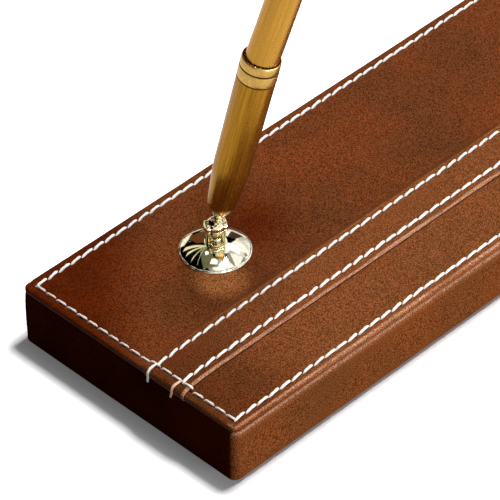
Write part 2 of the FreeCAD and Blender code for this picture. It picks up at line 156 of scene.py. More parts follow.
clear = node(tree, "ShaderNodeBsdfTransparent", {"Color": white})
from_below = node(tree, "ShaderNodeNewGeometry").outputs["Backfacing"]
one_sided = either(tree, from_below, either(tree, seen, dark_paper, lit_paper), clear)
node(tree, "ShaderNodeOutputMaterial", {"Surface": one_sided})
floor.data.materials.append(paper)

# The cloths are darker to the camera's left
cloth_lean, cloth_step = 0.35, 0.30
world = bpy.data.worlds.new("room")
scene.world = world
tree = emptied_tree(world)
rays = node(tree, "ShaderNodeLightPath").outputs
looking = node(tree, "ShaderNodeTexCoord").outputs["Generated"]
cloths = node(tree, "ShaderNodeTexVoronoi", {"Vector": looking, "Scale": 3.4, "Randomness": 1.0})
cloth_shade = node(tree, "ShaderNodeSeparateColor", {0: cloths.outputs["Color"]})
to_right = node(tree, "ShaderNodeVectorMath", {0: looking, 1: tuple(camera_right)}, operation="DOT_PRODUCT")
leaning = calculate(tree, "MULTIPLY_ADD", to_right.outputs["Value"], cloth_lean, cloth_shade)
cloth_range = rescaled(tree, leaning, (0.22, 0.72), (0.0, 1.25))
cloth_level = calculate(tree, "SNAP", cloth_range, cloth_step)
cloth = node(tree, "ShaderNodeBackground", {"Color": white, "Strength": cloth_level})
upward = node(tree, "ShaderNodeSeparateXYZ", {0: looking}).outputs[2]
room_level = rescaled(tree, upward, (-0.05, 0.0), (1.2, 0.05))
room_light = node(tree, "ShaderNodeBackground", {"Color": white, "Strength": room_level})
backdrop = node(tree, "ShaderNodeBackground", {"Color": white, "Strength": 1.0})
lit_or_mirrored = either(tree, rays["Is Glossy Ray"], room_light, cloth)
room_look = either(tree, rays["Is Camera Ray"], lit_or_mirrored, backdrop)
node(tree, "ShaderNodeOutputWorld", {"Surface": room_look})


def lamp(name, kind, place, aim, power):
    """Lamp turned from its place to its aim, both in metres."""
    light = bpy.data.lights.new(name, kind)
    light.energy = power
    made = in_scene(name, light)
    made.location = place
    made.rotation_euler = (Vector(aim) - Vector(place)).to_track_quat("-Z", "Y").to_euler()
    return light


for name, place, aim, width, height, power in (
        ("overhead_softbox", (0.16, -0.02, 1.0), (0.0, 0.0, 0.02), 0.19, 0.19, 12.5),
        ("low_front_strip", (0.14, -0.70, 0.035), (0.14, 0.0, 0.015), 0.9, 0.06, 7.8)):
    light = lamp(name, "AREA", place, aim, power)
    light.shape = "RECTANGLE"
    light.size = width
    light.size_y = height

# The polished disc throws a patch of light forward on the leather
swivel_x, swivel_y = -67.9, 16.8
disc_place = Vector((swivel_x, swivel_y, 28.0))
away_from_camera = Vector((-camera_back.x, -camera_back.y, 0)).normalized()
landing = (disc_place - away_from_camera * 15.0 + camera_right * 2.5) * mm
thrown = lamp("light_off_disc", "SPOT", landing + Vector((0.05, -0.10, 0.55)), landing, 34.0)
thrown.color = (0.62, 0.88, 1.0)
thrown.spot_size = math.radians(2.4)
thrown.spot_blend = 1.0
thrown.shadow_soft_size = 0.002


def card(name, distance, colour, corners):
    """Glowing or dark card that only shiny surfaces see.  Its corners are directions from the disc, as
    shares to the camera's right, away from the camera and up, and its distance is in millimetres."""
    points = []
    for right, away, up in corners:
        direction = camera_right * right + away_from_camera * away + Vector((0, 0, up))
        points.append(disc_place + direction.normalized() * distance)
    made = mesh_object(name, points, [(0, 1, 2, 3)], smooth=False)
    surface = bpy.data.materials.new(name)
    tree = emptied_tree(surface)
    light = node(tree, "ShaderNodeEmission", {"Color": (*colour, 1), "Strength": 1.0})
    node(tree, "ShaderNodeOutputMaterial", {"Surface": light})
    made.data.materials.append(surface)
    for kind_of_ray in ("camera", "diffuse", "shadow", "transmission"):
        setattr(made, "visible_" + kind_of_ray, False)


lamp_white = (1.8, 1.8, 1.7)
cards = [
    ("left_dark", 1900, (0.0, 0.0, 0.0),
     ((-0.95, -0.3, 0.25), (-0.60, 0.85, 0.15), (-0.16, 0.66, 0.72), (-0.36, -0.5, 0.9))),
    ("front_grey", 1150, (0.16, 0.16, 0.09),
     ((-0.34, 0.62, 0.70), (0.20, 0.62, 0.76), (0.20, -0.13, 0.97), (-0.34, -0.16, 0.93))),
    ("brown_card", 950, (0.15, 0.052, 0.018),
     ((-0.43, 0.88, 0.16), (-0.01, 0.99, 0.08), (-0.02, 0.64, 0.76), (-0.38, 0.72, 0.58))),
    ("low_left_card", 900, (1.1, 1.05, 0.9),
     ((-0.28, 0.96, 0.02), (-0.43, 0.86, 0.26), (-0.56, 0.76, 0.34), (-0.68, 0.73, 0.08))),
    ("rear_dark", 800, (0.07, 0.04, 0.025),
     ((0.18, 0.97, 0.06), (0.36, 0.92, 0.10), (0.34, 0.84, 0.42), (0.20, 0.87, 0.44))),
    ("right_white", 800, (2.0, 2.0, 2.0),
     ((0.26, 0.50, 0.83), (0.30, 0.68, 0.66), (0.52, 0.60, 0.60), (0.54, 0.42, 0.72))),
    ("small_white_left", 700, lamp_white,
     ((-0.26, 0.28, 0.92), (-0.26, 0.40, 0.88), (-0.17, 0.41, 0.90), (-0.18, 0.30, 0.94))),
    ("small_white_right", 700, lamp_white,
     ((0.05, 0.37, 0.93), (0.05, 0.50, 0.87), (0.12, 0.50, 0.87), (0.12, 0.37, 0.93))),
    ("small_white_front", 700, lamp_white,
     ((-0.16, -0.04, 1.0), (-0.10, 0.13, 0.98), (0.06, 0.12, 0.98), (0.04, -0.06, 1.0)))]
for name, distance, colour, corners in cards:
    card(name, distance, colour, corners)
cream = (1.0, 0.92, 0.62)
strip_start = Vector((-0.22, 0.58, 0.79))
strip_foot = Vector((0.012, 0.012, 0))
for index, (right, away, up, spread) in enumerate((
        (-0.61, 0.64, 0.44, 0.060), (-0.64, 0.46, 0.60, 0.050), (-0.60, 0.22, 0.76, 0.055),
        (-0.50, 0.02, 0.88, 0.045))):
    card("left_strip_%d" % index, 600, cream, [
        strip_start - strip_foot, strip_start + strip_foot, (right + spread / 2, away + spread, up),
        (right - spread / 2, away - spread, up)])
scene.view_settings.view_transform = "Standard"


# Hidden hardware
# The board is sawn wood.  A steel stud nut with its washers sits in a counterbore under it, a wave washer
# lies under the stud's head, a nut and a black plastic plug fill the funnel's foot, and the pen's refill is
# brass.
def new_finish(name):
    """Material, its node tree and its shader."""
    made = bpy.data.materials.new(name)
    made.use_nodes = True
    return made, made.node_tree, made.node_tree.nodes["Principled BSDF"]


def opaque(colour, level=1.0):
    """Colour at a level, as nodes take it."""
    return tuple(c * level for c in colour) + (1,)


def tinted(tree, share, first, second, blend_type="MIX"):
    """First colour or second, by a share."""
    return node(tree, "ShaderNodeMix", {0: share, 6: first, 7: second}, data_type="RGBA",
                blend_type=blend_type).outputs[2]


def mottled(tree, place, scale, detail, roughness=0.5):
    """Noise at a place."""
    return node(tree, "ShaderNodeTexNoise", {
        "Vector": place, "Scale": scale, "Detail": detail, "Roughness": roughness})


def dress(shader, colour, roughness, height, strength, depth):
    """Gives the shader its colour and its roughness, and a bump of a depth in millimetres."""
    raised = node(shader.id_data, "ShaderNodeBump", {
        "Height": height, "Strength": strength, "Distance": depth * mm})
    feed(shader, {"Base Color": colour, "Roughness": roughness, "Normal": raised})


def plain_material(name, colour, metallic, roughness, mottling, grain_size, bump):
    """Finish with a soft mottling of colour and roughness and a fine bump, on the object's own place."""
    made, tree, shader = new_finish(name)
    feed(shader, {"Metallic": metallic})
    place = node(tree, "ShaderNodeTexCoord").outputs["Object"]
    grain = mottled(tree, place, 1 / (grain_size * mm), 4.0)
    shade = tinted(tree, grain, opaque(colour, 1 - mottling), opaque(colour))
    rough = rescaled(tree, grain, to=(roughness * 0.8, min(1, roughness * 1.25)))
    dress(shader, shade, rough, grain, 0.4, bump)
    return made


def finish_node(name, material):
    """Gives a CAD node one finish all over."""
    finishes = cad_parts[name].data.materials
    for index in range(len(finishes)):
        finishes[index] = material
    if not finishes:
        finishes.append(material)


sawn_wood = plain_material("sawn_wood", (0.42, 0.28, 0.16), 0.0, 0.7, 0.5, 1.5, 0.05)
zinc_steel = plain_material("zinc_steel", (0.60, 0.60, 0.62), 1.0, 0.3, 0.2, 0.4, 0.004)
black_plastic = plain_material("black_plastic", (0.02, 0.02, 0.02), 0.0, 0.5, 0.2, 0.3, 0.01)
refill_brass = plain_material("refill_brass", (0.62, 0.48, 0.26), 1.0, 0.28, 0.2, 0.6, 0.003)
finish_node("core_board", sawn_wood)
for name in ("flat_washer", "lock_washer", "stud_nut", "wave_washer", "stem_nut"):
    finish_node(name, zinc_steel)
finish_node("tip_seat", black_plastic)
for name in ("refill_tube", "refill_point"):
    finish_node(name, refill_brass)


# Felt under the board
# Dark brown pressed felt, glued under the board over the leather that is turned under it, and set in a
# little from the board's edges.
def rounded_outline(half_x, half_y, radius, step, arc_steps=8):
    """Points and outward directions round a rectangle with rounded corners, anticlockwise from its right."""
    places, outwards = [], []
    flats = [
        ((half_x, -half_y + radius), (half_x, half_y - radius), (1, 0)),
        ((half_x - radius, half_y), (-half_x + radius, half_y), (0, 1)),
        ((-half_x, half_y - radius), (-half_x, -half_y + radius), (-1, 0)),
        ((-half_x + radius, -half_y), (half_x - radius, -half_y), (0, -1))]
    for index, (start, end, outward) in enumerate(flats):
        count = max(1, round(math.dist(start, end) / step))
        for i in range(count):
            t = i / count
            places.append((start[0] + (end[0] - start[0]) * t, start[1] + (end[1] - start[1]) * t))
            outwards.append(outward)
        centre = (end[0] - outward[0] * radius, end[1] - outward[1] * radius)
        for i in range(arc_steps):
            angle = (index + i / arc_steps) * math.pi / 2
            outwards.append((math.cos(angle), math.sin(angle)))
            places.append((centre[0] + radius * math.cos(angle), centre[1] + radius * math.sin(angle)))
    return np.array(places), np.array(outwards)


def wrapped_faces(rings, around, closed, first=0):
    """Faces between rings of points laid one after another, each ring run the same way round."""
    faces = []
    for low in range(first, first + (rings - 1) * around, around):
        for i in range(around if closed else around - 1):
            j = (i + 1) % around
            faces.append((low + i, low + j, low + around + j, low + around + i))
    return faces


corner_radius = 3.0
felt_inset, felt_step = 3.5, 4.0
felt_rings = [(0.15, 0.0), (0.0, 0.2), (0.0, 0.6), (0.15, 0.8)]
felt_places, felt_outwards = rounded_outline(
    half_length - felt_inset, half_width - felt_inset, corner_radius, felt_step)
felt_points = [
    (*(place - outward * inset), z)
    for inset, z in felt_rings for place, outward in zip(felt_places, felt_outwards)]
around = len(felt_places)
felt_faces = wrapped_faces(len(felt_rings), around, closed=True)
felt_faces.append(tuple(reversed(range(around))))
felt_faces.append(tuple(range((len(felt_rings) - 1) * around, len(felt_rings) * around)))
felt = mesh_object("felt_pad_cloth", felt_points, felt_faces, smooth=False)
felt.data.materials.append(plain_material("brown_felt", (0.05, 0.026, 0.016), 0.0, 0.95, 0.6, 0.35, 0.12))
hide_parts("felt_pad")
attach(felt, "base")


# Leather band round the four sides
# Smooth brown leather drawn round the edge of the board, turned under it at the bottom and rounded over at
# its top, where the top leather meets it in a dark groove.  Its two ends butt at the middle of the back.
brown = (0.072, 0.0098, 0.0006)
pale_sheen_brown = (0.54, 0.225, 0.080)
polished_highlight_brown = (0.50, 0.265, 0.17)
grain_hollow, grain_crest = (0.50, 0.40, 0.28), (1.68, 1.68, 1.68)


def leather(name, seed, shine):
    """Brown calf: fine pebbled grain, a cloudy depth of colour, paler and smoother where rubbed and where
    highlights and sheen are painted on.
    """
    made, tree, shader = new_finish(name)
    feed(shader, {"Specular IOR Level": shine, "Specular Tint": (1.0, 0.50, 0.18, 1)})
    in_mm = node(tree, "ShaderNodeMapping", {
        "Vector": node(tree, "ShaderNodeTexCoord").outputs["Object"], "Location": (seed, seed * 2, 0),
        "Scale": (1000, 1000, 1000)})
    clouds = mottled(tree, in_mm, 0.035, 3.0, 0.55)
    speckle = mottled(tree, in_mm, 2.7, 1.0, 0.6)
    cells = node(tree, "ShaderNodeTexVoronoi", {
        "Vector": in_mm, "Scale": 1.25, "Randomness": 1.0}, feature="DISTANCE_TO_EDGE")
    pebbles = rescaled(tree, cells, (0.0, 0.22))
    cloudy = rescaled(tree, clouds, (0.3, 0.7))
    body = tinted(tree, cloudy, opaque(brown, 0.55), opaque(brown, 1.25))
    # The rub share also carries painted highlights, painted sheen and a painted shadow, besides rubbing.
    rub_and_sheen = node(tree, "ShaderNodeAttribute", attribute_name="rub_and_sheen").outputs["Fac"]
    polish_and_highlight = rescaled(tree, rub_and_sheen, (0.25, 0.55))
    light = tinted(tree, polish_and_highlight, opaque(pale_sheen_brown), opaque(polished_highlight_brown))
    sheen_and_shade = tinted(tree, rub_and_sheen, body, light)
    speckled = rescaled(tree, speckle, (0.42, 0.58))
    grain = tinted(tree, speckled, opaque(grain_hollow), opaque(grain_crest))
    dotted = tinted(tree, 1.0, sheen_and_shade, grain, "MULTIPLY")
    # The pebbles' creases are drawn darker: painted shade in the grain.
    crease_shaded = tinted(tree, 1.0, dotted, rescaled(tree, pebbles, to=(0.72, 1.06)), "MULTIPLY")
    smoothed = calculate(tree, "MULTIPLY", rub_and_sheen, 0.10)
    rough = calculate(tree, "SUBTRACT", rescaled(tree, speckle, to=(0.36, 0.56)), smoothed)
    dress(shader, crease_shaded, rough, calculate(tree, "ADD", pebbles, speckle), 0.55, 0.05)
    return made


def turning(first, steps, turn=90):
    """Sines and cosines at even steps of a turn in degrees, from the first step on."""
    angles = [math.radians(turn) * i / steps for i in range(first, steps + 1)]
    return [(math.sin(angle), math.cos(angle)) for angle in angles]


def set_rub_and_sheen(made, shares):
    """Tells the leather how much it is rubbed, and how much painted highlight and sheen it has, at each
    point.
    """
    rub_and_sheen = made.data.attributes.new("rub_and_sheen", "FLOAT", "POINT")
    rub_and_sheen.data.foreach_set("value", [float(share) for share in shares])


def thicken(made, thickness):
    """Gives a skin its thickness in millimetres, inwards."""
    bulk = made.modifiers.new("thickness", "SOLIDIFY")
    bulk.thickness = thickness * mm
    bulk.offset = -1


def hump(distance, width):
    """Smooth bell, 1 at its middle."""
    return np.exp(-(distance / width) ** 2)


band_places, band_outwards = rounded_outline(half_length, half_width, corner_radius, 2.0)
back_middle = int(np.argmin(np.hypot(band_places[:, 0], band_places[:, 1] - half_width)))
band_places = np.roll(band_places, -back_middle, axis=0)
band_outwards = np.roll(band_outwards, -back_middle, axis=0)
butt_gap = 0.15
band_places[0] = (-butt_gap, half_width)
band_places = np.vstack([band_places, [(butt_gap, half_width)]])
band_outwards = np.vstack([band_outwards, [(0, 1)]])
band_bottom, bottom_round = 0.85, 0.9
side_foot = band_bottom + bottom_round
side_top, top_round = 21.4, 1.3
# Inset from the outline, height, and outward share of the swelling, from under the board up
band_rings = [(11.2, band_bottom, 0), (6.0, band_bottom, 0), (2.5, band_bottom, 0), (1.3, 0.87, 0)]
band_rings += [
    (bottom_round * (1 - out), side_foot - bottom_round * down, out) for out, down in turning(1, 5)]
band_rings += [(0.0, side_foot + (side_top - side_foot) * i / 10, 1) for i in range(1, 10)]
band_rings += [(top_round * (1 - out), side_top + top_round * up, out) for up, out in turning(0, 6, 105)]
band_rings.append((2.2, 22.3, 0))
# The front face gets a painted sheen and its rounded top a painted highlight; the other sides get almost
# none.
edge_rub_and_highlight, front_sheen, other_sides = 0.55, 0.16, 0.02
band_points, band_rub_and_sheen = [], []
for inset, height, outward_share in band_rings:
    for place, outward in zip(band_places, band_outwards):
        x, y = place - outward * inset
        if inset > corner_radius:
            reach = np.array((half_length, half_width)) - inset
            x, y = np.clip(place, -reach, reach)
        uneven = 0.16 * noise.noise(Vector((place[0] / 23, place[1] / 23, height / 14)))
        fullness = 0.12 * math.sin(math.pi * min(1, max(0, (height - 1) / 21)))
        swell = (uneven + fullness) * outward_share
        band_points.append((x + outward[0] * swell, y + outward[1] * swell, height))
        edge = hump(height - 22.2, 0.7) * (1 if inset < 1.2 else 0)
        facing_front = 1.0 if y < -half_width + 2 else other_sides
        band_rub_and_sheen.append((edge_rub_and_highlight * edge + front_sheen) * facing_front)
band_faces = wrapped_faces(len(band_rings), len(band_places), closed=False)
band = mesh_object("side_band_leather", band_points, band_faces)
set_rub_and_sheen(band, band_rub_and_sheen)
thicken(band, 0.5)
band.data.materials.append(leather("side_leather", 3.0, 0.0))
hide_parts("side_leather_band")
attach(band, "base")


# Top leather: front panel and lapped rear panel
# Two pieces of the same leather.  The rear one is folded under at its front edge and laid on the front one,
# and two rows of stitching hold the lap.  Another row runs near the board's edge all round.
top_level = 25.0
lap_rise = 1.2
nose_y = -26.0
under_lap_end = -8.4
lap_rows = (-10.5, -22.4)
edge_row_inset, end_row_inset = 3.66, 3.6
stitch_pitch, end_stitch_pitch = 5.38, 5.04
row_margin = 6.0
first_x = -half_length + row_margin
first_y = half_width - 5.6
upper_roll, lower_roll, lower_level = 1.05, 0.55, -1.65
# Inset, level, and outward and upward share of the relief, over the edge and down to the groove
rolled_edge = [(2.4, 0.0, 0, 1), (1.8, 0.0, 0, 1), (1.35, 0.0, 0, 1)]
rolled_edge += [(upper_roll * (1 - out), -upper_roll * (1 - up), out, up) for out, up in turning(0, 6)]
rolled_edge += [
    (lower_roll * (1 - out), lower_level - lower_roll * down, out, -down) for down, out in turning(0, 4)]
rolled_edge.append((1.4, -2.2, 0, -1))


def soft_step(share):
    """Share from 0 to 1 that starts and ends gently."""
    t = np.clip(share, 0, 1)
    return t * t * (3 - 2 * t)


def bow(x):
    """How far the lap is drawn towards the front where it wraps over the board's ends."""
    return -1.5 * np.exp(-(half_length - np.abs(x)) / 5.0)


def lap_height(y):
    return lap_rise * (1 - soft_step((y - under_lap_end) / 2.6))


def valley(across, along, pitch, depth, hole_depth):
    """Furrow that a row of stitches draws in the leather, deepest at the needle holes between stitches."""
    phase = (along / pitch + 0.5) % 1.0
    hole = hump(np.minimum(phase, 1 - phase) * pitch, 0.75)
    return -depth * hump(across, 1.0) - hole_depth * hole * hump(across, 0.55)


def relief(x, y, rear):
    """Height of the leather over its flat level, at a place on the top."""
    inset_x = half_length - np.abs(x)
    inset_y = half_width - np.abs(y)
    rise = 0.05 * np.sin(x / 11.0 + 1.3 * np.sin(y / 17.0)) * np.sin(y / 9.0 + x / 31.0)
    rise += valley(inset_y - edge_row_inset, x - first_x, stitch_pitch, depth=0.26, hole_depth=0.30)
    rise += valley(inset_x - end_row_inset, y - first_y, end_stitch_pitch, depth=0.24, hole_depth=0.26)
    rise += 0.16 * hump(np.minimum(inset_x, inset_y) - 1.7, 0.8)
    if rear:
        lap_y = y - bow(x)
        rise += lap_height(lap_y)
        for row in lap_rows:
            rise += valley(lap_y - row, x - first_x, stitch_pitch, depth=0.30, hole_depth=0.32)
        rise += 0.14 * hump(lap_y - nose_y - 1.0, 0.6)
        rise += 0.20 * hump(lap_y - under_lap_end + 0.2, 0.6)
    return rise


def painted_sheen_and_shade(x, y, rear):
    """Share of painted sheen that grows towards the right, less a painted shadow of the holder beside it on
    the lap's rear part.
    """
    if not rear or y < under_lap_end:
        return 0.09 + 0.13 * soft_step((x + 118) / 42)
    past_x, past_y = x - swivel_x, y - swivel_y
    right = 0.70 * past_x - 0.713 * past_y
    beyond = 0.713 * past_x + 0.70 * past_y
    painted_holder_shadow = hump(right - 13, 14) * hump(beyond - 14, 16)
    return max(0.0, 0.12 * soft_step((right + 42) / 25) - 0.12 * painted_holder_shadow)


def fold_under(points, rub_and_sheen, faces, section, lifts):
    """Carries a panel's front edge round and back under it, as deep as the lap is thick."""
    fold = lap_rise / 2
    turns = [(ahead, 1 - up) for ahead, up in turning(1, 9, 180)] + [(-1.5, 2.0), (-4.0, 2.0)]
    previous = section
    for forward, sunk in turns:
        current = []
        for index, (out, up, sign) in zip(section, lifts):
            x, y, z = points[index]
            current.append(len(points))
            strength = 0.35 + 0.65 * abs(up) if sign else 1.0
            inward = fold * sunk * strength
            points.append((x - sign * out * inward, y - fold * forward, z - up * inward))
            # The fold's front is paler with the lap nose's painted highlight.
            rub_and_sheen.append(0.6 if forward > 0.3 else 0)
        for i in range(len(section) - 1):
            faces.append((current[i], current[i + 1], previous[i + 1], previous[i]))
        previous = current


def panel_sheet(name, side, inner_end, rear):
    """Sheet that covers the top from an inner end out to three edges, and rolls down over them.  Its places
    across the board are counted from the middle, towards the side that it covers."""
    column_step, row_step, corner_steps = 0.8, 0.65, 8
    inner_x, inner_across = half_length - corner_radius, half_width - corner_radius
    columns = np.linspace(-inner_x, inner_x, round(2 * inner_x / column_step) + 1)
    rows = np.linspace(inner_end, inner_across, round((inner_across - inner_end) / row_step) + 1)
    long, deep = len(columns), len(rows)
    last_row = (deep - 1) * long
    points, rub_and_sheen = [], []

    def add(x, across, level, out_x, out_across, up, rolled_share):
        y = side * across
        shift = bow(x) * (1 / (1 + math.exp((y - 2) / 4.0))) if rear else 0
        y += shift
        rise = float(relief(x, y, rear)) * (1 - 0.75 * rolled_share)
        points.append((x + out_x * rise, y + side * out_across * rise, top_level + level + up * rise))
        inset = min(half_length - abs(x), half_width - abs(y))
        # Painted highlights, paler like rubbed leather: on the front edge only, on the lap's folded nose and
        # on the step where the under-lap ends, patchy along their length.
        facing_front = 1.0 if y < -half_width + 4 else 0.06
        edge = facing_front * hump(inset - 0.8, 0.5) * (1 - rolled_share)
        lap_y = y - shift
        nose = hump(lap_y - nose_y - 0.55, 0.21) if rear else 0
        ridge = hump(lap_y - under_lap_end + 0.2, 0.5) if rear else 0
        patchy = 0.65 + 0.9 * noise.noise(Vector((x / 19.0, y / 19.0, 0.3)))
        sheen_and_shade = painted_sheen_and_shade(x, lap_y, rear)
        rub_and_sheen.append(min(1.0, max(0.0, (edge_rub_and_highlight * edge + 0.8 * nose + 0.13 * ridge) * patchy + sheen_and_shade)))

    for across in rows:
        for x in columns:
            add(x, across, 0, 0, 0, 1, 0)

    def corner(column, start):
        """Rim places round an outer corner, a quarter turn on from an angle."""
        x = columns[column]
        for i in range(1, corner_steps):
            angle = start - math.pi / 2 * i / corner_steps
            yield last_row + column, (x, inner_across), (math.cos(angle), math.sin(angle))

    rim = [(row * long, (-half_length, rows[row]), (-1, 0)) for row in range(deep)]
    rim += corner(0, math.pi)
    rim += [(last_row + column, (columns[column], half_width), (0, 1)) for column in range(long)]
    rim += corner(long - 1, math.pi / 2)
    rim += [((row + 1) * long - 1, (half_length, rows[row]), (1, 0)) for row in reversed(range(deep))]
    first_ring = len(points)
    for inset, level, out, up in rolled_edge:
        share = min(1.0, max(0.0, -level / 1.6))
        for inner, place, direction in rim:
            reach = -inset if max(abs(direction[0]), abs(direction[1])) == 1 else corner_radius - inset
            add(place[0] + direction[0] * reach, place[1] + direction[1] * reach, level,
                direction[0] * out, direction[1] * out, up, share)
    ring_length = len(rim)
    faces = wrapped_faces(deep, long, closed=False)
    for i in range(ring_length - 1):
        a, b = rim[i][0], rim[i + 1][0]
        c, d = first_ring + i, first_ring + i + 1
        faces.append((a, b, d, c) if a != b else (a, d, c))
    faces += wrapped_faces(len(rolled_edge), ring_length, closed=False, first=first_ring)
    if rear:
        left_end = [first_ring + ring * ring_length for ring in reversed(range(len(rolled_edge)))]
        right_end = [first_ring + (ring + 1) * ring_length - 1 for ring in range(len(rolled_edge))]
        section = left_end + list(range(long)) + right_end
        lifts = [(out, up, -1) for inset, level, out, up in reversed(rolled_edge)]
        lifts += [(0, 1, 0)] * long
        lifts += [(out, up, 1) for inset, level, out, up in rolled_edge]
        fold_under(points, rub_and_sheen, faces, section, lifts)
    if side < 0:
        faces = [tuple(reversed(face)) for face in faces]
    sheet = mesh_object(name, points, faces)
    set_rub_and_sheen(sheet, rub_and_sheen)
    thicken(sheet, 0.4)
    return sheet


top_shine = 0.045
front_panel = panel_sheet("front_top_leather_sheet", -1, 22.0, rear=False)
front_panel.data.materials.append(leather("front_leather", 11.0, top_shine))
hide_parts("front_top_leather")
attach(front_panel, "base")
rear_panel = panel_sheet("rear_top_leather_sheet", 1, nose_y + lap_rise / 2, rear=True)
rear_panel.data.materials.append(leather("rear_leather", 7.0, top_shine))
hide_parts("rear_top_leather")
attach(rear_panel, "base")


# Stitching
# Thick off-white two-ply thread in slanting stitches: one row near the board's edge all round, and two on
# the lap, whose ends wrap over the board's ends.
def joined(tree, x=0.0, y=0.0, z=0.0):
    """Vector from three numbers or nodes."""
    return node(tree, "ShaderNodeCombineXYZ", {0: x, 1: y, 2: z})


def stitch_tree():
    """Lays twisted stitches along paths that carry the leather's outward direction."""
    tree = bpy.data.node_groups.new("stitch_row", "GeometryNodeTree")
    face = tree.interface
    face.new_socket("Geometry", in_out="INPUT", socket_type="NodeSocketGeometry")
    for label in ("Pitch", "Stitch length", "Thread radius", "Slant", "Dip"):
        face.new_socket(label, in_out="INPUT", socket_type="NodeSocketFloat")
    face.new_socket("Thread", in_out="INPUT", socket_type="NodeSocketMaterial")
    face.new_socket("Geometry", in_out="OUTPUT", socket_type="NodeSocketGeometry")
    add = partial(node, tree)
    given = add("NodeGroupInput").outputs
    half = calculate(tree, "MULTIPLY", given["Stitch length"], 0.5)
    line = add("GeometryNodeCurvePrimitiveLine", {
        "Start": joined(tree, calculate(tree, "MULTIPLY", half, -1.0)), "End": joined(tree, half)})
    strand = add("GeometryNodeResampleCurve", {"Curve": line, "Count": 11})
    along = add("GeometryNodeSplineParameter").outputs["Factor"]
    off_centre = calculate(tree, "ABSOLUTE", calculate(tree, "MULTIPLY_ADD", along, 2.0, -1.0))
    dive = calculate(tree, "MULTIPLY", calculate(tree, "POWER", off_centre, 4.0), given["Dip"])
    arched = add("GeometryNodeSetPosition", {
        "Geometry": strand, "Offset": joined(tree, z=calculate(tree, "MULTIPLY", dive, -1.0))})
    twist = calculate(tree, "MULTIPLY", along, 4.2)
    twisted = add("GeometryNodeSetCurveTilt", {"Curve": arched, "Tilt": twist})
    slim = calculate(tree, "MULTIPLY_ADD", calculate(tree, "POWER", off_centre, 2.6), -0.62, 1.0)
    width = calculate(tree, "MULTIPLY", slim, given["Thread radius"])
    ply = add("GeometryNodeCurvePrimitiveCircle", {"Resolution": 8, "Radius": 1.0})
    at = add("ShaderNodeSeparateXYZ", {0: add("GeometryNodeInputPosition")}).outputs
    flat = joined(tree, at[0], calculate(tree, "MULTIPLY", at[1], 0.72))
    two_ply = add("GeometryNodeSetPosition", {"Geometry": ply, "Position": flat})
    stitch = add("GeometryNodeCurveToMesh", {
        "Curve": twisted, "Profile Curve": two_ply, "Scale": width, "Fill Caps": True})
    path = add("GeometryNodeMeshToCurve", {"Mesh": given["Geometry"]})
    spaced = add("GeometryNodeResampleCurve", {"Curve": path, "Length": given["Pitch"]}, mode="LENGTH")
    outward = add("GeometryNodeInputNamedAttribute", {"Name": "outward"}, data_type="FLOAT_VECTOR")
    forward = add("GeometryNodeInputTangent")
    upright = add("FunctionNodeAlignRotationToVector", {"Vector": outward}, axis="Z")
    facing = add("FunctionNodeAlignRotationToVector", {
        "Rotation": upright, "Vector": forward}, axis="X", pivot_axis="Z")
    wander = add("FunctionNodeRandomValue", {2: -0.06, 3: 0.06, "Seed": 5}, data_type="FLOAT")
    lean = calculate(tree, "ADD", given["Slant"], wander.outputs[1])
    turned = add("FunctionNodeEulerToRotation", {0: joined(tree, z=lean)})
    slanted = add("FunctionNodeRotateRotation", {
        "Rotation": facing, "Rotate By": turned}, rotation_space="LOCAL")
    size = add("FunctionNodeRandomValue", {
        0: (0.94, 0.92, 0.92), 1: (1.04, 1.08, 1.08), "Seed": 9}, data_type="FLOAT_VECTOR")
    placed = add("GeometryNodeInstanceOnPoints", {
        "Points": spaced, "Instance": stitch, "Rotation": slanted, "Scale": size})
    real = add("GeometryNodeRealizeInstances", {0: placed})
    soft = add("GeometryNodeSetShadeSmooth", {0: real})
    dressed = add("GeometryNodeSetMaterial", {"Geometry": soft, "Material": given["Thread"]})
    add("NodeGroupOutput", {"Geometry": dressed})
    return tree


def plain_piece(name, guide):
    """Object with the plain mesh that a guide object comes to, in place of the guide."""
    bpy.context.view_layer.update()
    ready = guide.evaluated_get(bpy.context.evaluated_depsgraph_get())
    mesh = bpy.data.meshes.new_from_object(ready)
    bpy.data.objects.remove(guide)
    mesh.name = name
    return in_scene(name, mesh)


stitch_row = stitch_tree()


def stitched(name, paths, thread, **sizes):
    """One mesh of stitches along paths of places in millimetres.  They all lie on top, so outward is up."""
    points, edges = [], []
    for path in paths:
        edges += [(i, i + 1) for i in range(len(points), len(points) + len(path) - 1)]
        points += [[c * mm for c in place] for place in path]
    line = bpy.data.meshes.new(name + "_guide")
    line.from_pydata(points, edges, [])
    outward = line.attributes.new("outward", "FLOAT_VECTOR", "POINT")
    outward.data.foreach_set("vector", [0, 0, 1] * len(points))
    guide = in_scene(name + "_guide", line)
    laid = guide.modifiers.new("stitches", "NODES")
    laid.node_group = stitch_row
    named = {item.name: item.identifier for item in stitch_row.interface.items_tree
             if item.item_type == "SOCKET" and item.in_out == "INPUT"}
    laid[named["Thread"]] = thread
    for label, value in sizes.items():
        laid[named[label.replace("_", " ").capitalize()]] = value
    return plain_piece(name, guide)


def thread_material(name, colour):
    made = plain_material(name, colour, 0.0, 0.75, 0.22, 0.25, 0.06)
    feed(made.node_tree.nodes["Principled BSDF"], {"Sheen Weight": 0.25, "Sheen Roughness": 0.5})
    return made


def end_path(side):
    """Path of the row along an end of the board, over the lap."""
    path = []
    for i in range(161):
        y = first_y * (1 - i / 160) + (-half_width + 5.3) * i / 160
        on_lap = 1 / (1 + math.exp(-(y - nose_y + 1.2) / 0.35))
        lifted = on_lap * float(lap_height(y + 1.2))
        path.append((side * end_x, y, top_level + lifted + end_row_lift))
    return path if side < 0 else path[::-1]


def lap_path(row):
    """Path of a lap row between the places where its thread's ends take over."""
    stop = half_length - upper_roll - 5.2
    return [(x, row + bow(x), top_level + lap_rise + row_lift) for x in np.linspace(-stop, stop, 421)]


